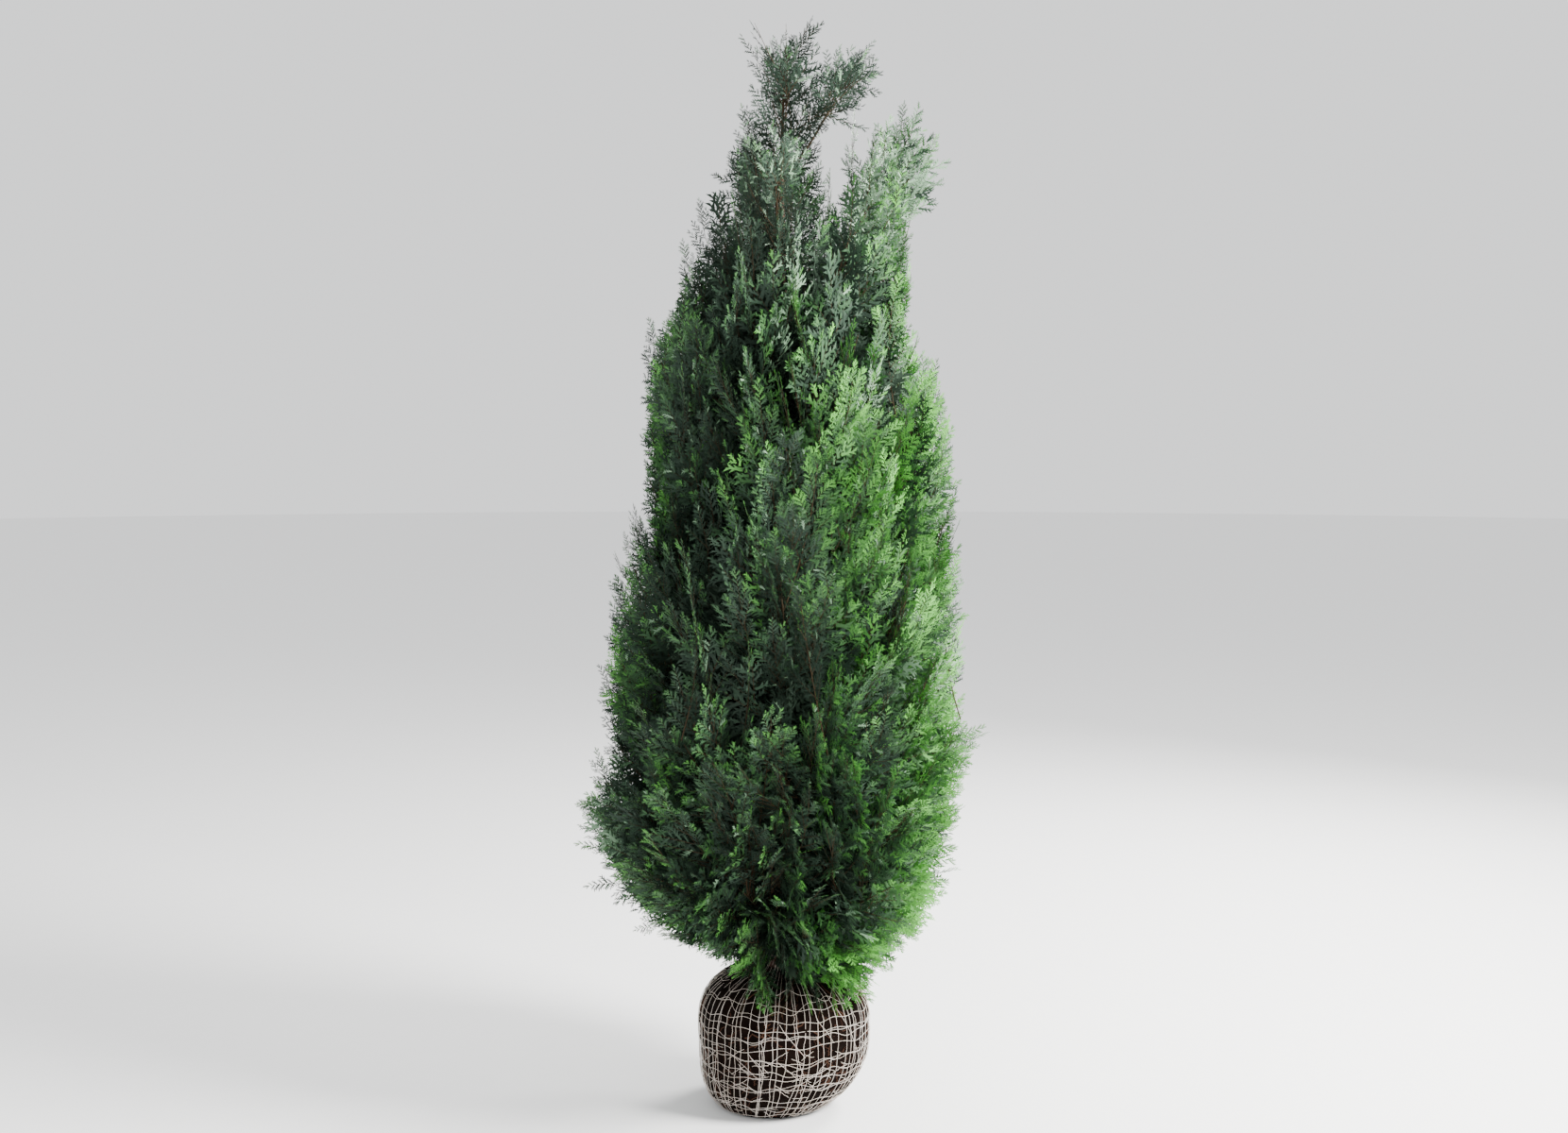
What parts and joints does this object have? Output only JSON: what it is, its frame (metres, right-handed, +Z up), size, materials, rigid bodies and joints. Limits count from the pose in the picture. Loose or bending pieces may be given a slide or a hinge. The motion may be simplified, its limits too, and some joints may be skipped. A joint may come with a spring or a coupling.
{
  "type": "false cypress",
  "caption": "Narrow, flame-shaped evergreen of flat, ferny sprays, lifted from the nursery row with its root ball in a wire net.",
  "frame": {"origin": "on the root ball's flat underside, straight below the middle of its waist", "axes": "+Z up along the trunk, +X to the right in the picture, -Y towards the picture's camera"},
  "size_m": [0.8028, 0.7502, 2.1717],
  "materials": {
    "soil": "rough, very dark brown soil packed with fine roots",
    "net_wire": "thin, pale beige, weathered wire",
    "bark": "thin reddish brown bark with fine vertical shreds",
    "foliage": "satin green scale leaves, dark bluish inside and yellowish green at the tips"
  },
  "bodies": {
    "root": {"bough_low_1": "bark", "bough_low_2": "bark", "bough_low_3": "bark", "bough_low_4": "bark", "bough_low_5": "bark", "bough_low_6": "bark", "bough_middle_1": "bark", "bough_middle_2": "bark", "bough_middle_3": "bark", "bough_middle_4": "bark", "bough_middle_5": "bark", "bough_middle_6": "bark", "bough_upper_1": "bark", "bough_upper_2": "bark", "bough_upper_3": "bark", "bough_upper_4": "bark", "bough_upper_5": "bark", "foliage_back_spire": "foliage", "foliage_crest_1": "foliage", "foliage_crest_2": "foliage", "foliage_crest_3": "foliage", "foliage_front_spire": "foliage", "foliage_high_1": "foliage", "foliage_high_2": "foliage", "foliage_high_3": "foliage", "foliage_high_4": "foliage", "foliage_high_5": "foliage", "foliage_leader": "foliage", "foliage_leader_side": "foliage", "foliage_left_spire": "foliage", "foliage_low_1": "foliage", "foliage_low_2": "foliage", "foliage_low_3": "foliage", "foliage_low_4": "foliage", "foliage_low_5": "foliage", "foliage_low_6": "foliage", "foliage_middle_1": "foliage", "foliage_middle_2": "foliage", "foliage_middle_3": "foliage", "foliage_middle_4": "foliage", "foliage_middle_5": "foliage", "foliage_middle_6": "foliage", "foliage_right_spire": "foliage", "foliage_skirt_1": "foliage", "foliage_skirt_2": "foliage", "foliage_skirt_3": "foliage", "foliage_skirt_4": "foliage", "foliage_skirt_5": "foliage", "foliage_skirt_6": "foliage", "foliage_upper_1": "foliage", "foliage_upper_2": "foliage", "foliage_upper_3": "foliage", "foliage_upper_4": "foliage", "foliage_upper_5": "foliage", "root_ball": "soil", "trunk": "bark", "wire_net": "net_wire"}
  },
  "joints": []
}
